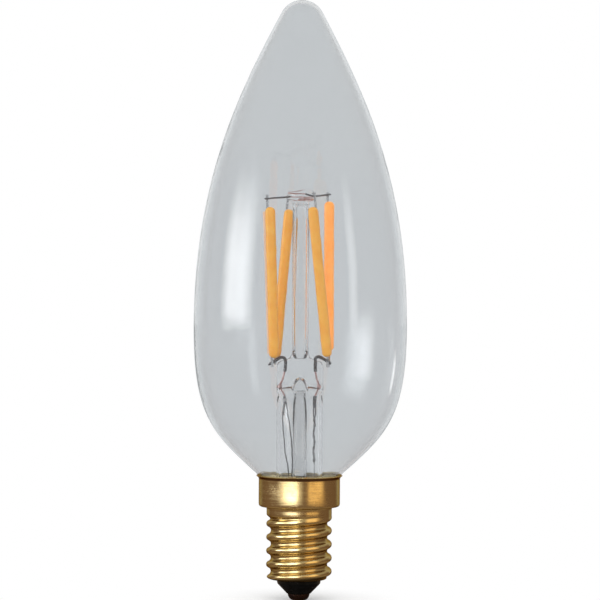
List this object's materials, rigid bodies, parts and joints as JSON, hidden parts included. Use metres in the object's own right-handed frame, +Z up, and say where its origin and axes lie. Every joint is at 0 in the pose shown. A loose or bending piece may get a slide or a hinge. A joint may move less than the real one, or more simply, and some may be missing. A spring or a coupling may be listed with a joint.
{
  "type": "led candle bulb",
  "caption": "Clear candle-shaped glass bulb with yellow filaments on a glass stem and a small brass screw cap.",
  "frame": {"origin": "centre of the flat tip of the contact, at the bottom of the cap", "axes": "+Z up the bulb's axis from the cap to the glass tip, +X to the right seen from the front, -Y the front"},
  "size_m": [0.0444, 0.0444, 0.125],
  "materials": {
    "brass_shell": "bright rolled brass sheet with a lacquered sheen",
    "black_insulator": "black moulded glass insulator, glossy",
    "contact_metal": "dull brass contact, dark from soldering",
    "clear_glass": "clear blown glass with a faint grey tint",
    "stem_glass": "clear lead glass, fire polished",
    "capping_cement": "olive-beige capping cement, matt",
    "phosphor_coat": "yellow-orange phosphor silicone, soft sheen",
    "filament_strip": "white ceramic strip",
    "lug_metal": "bright plated steel strip",
    "nickel_wire": "drawn nickel wire, grey",
    "copper_seal": "copper-clad wire, red-brown through the glass",
    "copper_strand": "tinned copper strand",
    "circuit_board": "green solder mask over fibre board",
    "black_plastic": "black moulded component body",
    "capacitor_can": "sleeved aluminium can",
    "resistor_lacquer": "grey-green lacquer",
    "tinned_copper": "tinned copper wire"
  },
  "bodies": {
    "root": {"bridge_rectifier": "black_plastic", "capping_cement": "capping_cement", "contact": "contact_metal", "contact_lead": "tinned_copper", "depth_arm_back": "nickel_wire", "depth_arm_front": "nickel_wire", "depth_arm_seal": "copper_seal", "driver_board": "circuit_board", "driver_chip": "black_plastic", "exhaust_tube": "stem_glass", "filament_left_inner_coat": "phosphor_coat", "filament_left_inner_lower_lug": "lug_metal", "filament_left_inner_strip": "filament_strip", "filament_left_inner_upper_lug": "lug_metal", "filament_left_outer_coat": "phosphor_coat", "filament_left_outer_lower_lug": "lug_metal", "filament_left_outer_strip": "filament_strip", "filament_left_outer_upper_lug": "lug_metal", "filament_right_inner_coat": "phosphor_coat", "filament_right_inner_lower_lug": "lug_metal", "filament_right_inner_strip": "filament_strip", "filament_right_inner_upper_lug": "lug_metal", "filament_right_outer_coat": "phosphor_coat", "filament_right_outer_lower_lug": "lug_metal", "filament_right_outer_strip": "filament_strip", "filament_right_outer_upper_lug": "lug_metal", "fuse_resistor": "resistor_lacquer", "glass_envelope": "clear_glass", "hook_left": "nickel_wire", "hook_right": "nickel_wire", "insulator": "black_insulator", "lead_stub_left": "nickel_wire", "lead_stub_right": "nickel_wire", "screw_shell": "brass_shell", "seal_wire_left": "copper_seal", "seal_wire_right": "copper_seal", "shell_lead": "tinned_copper", "side_arm_left": "nickel_wire", "side_arm_right": "nickel_wire", "side_arm_seal": "copper_seal", "smoothing_capacitor": "capacitor_can", "stem_flare": "stem_glass", "stem_pillar": "stem_glass", "strand_left_a": "copper_strand", "strand_left_b": "copper_strand", "strand_right_a": "copper_strand", "strand_right_b": "copper_strand"}
  },
  "joints": []
}
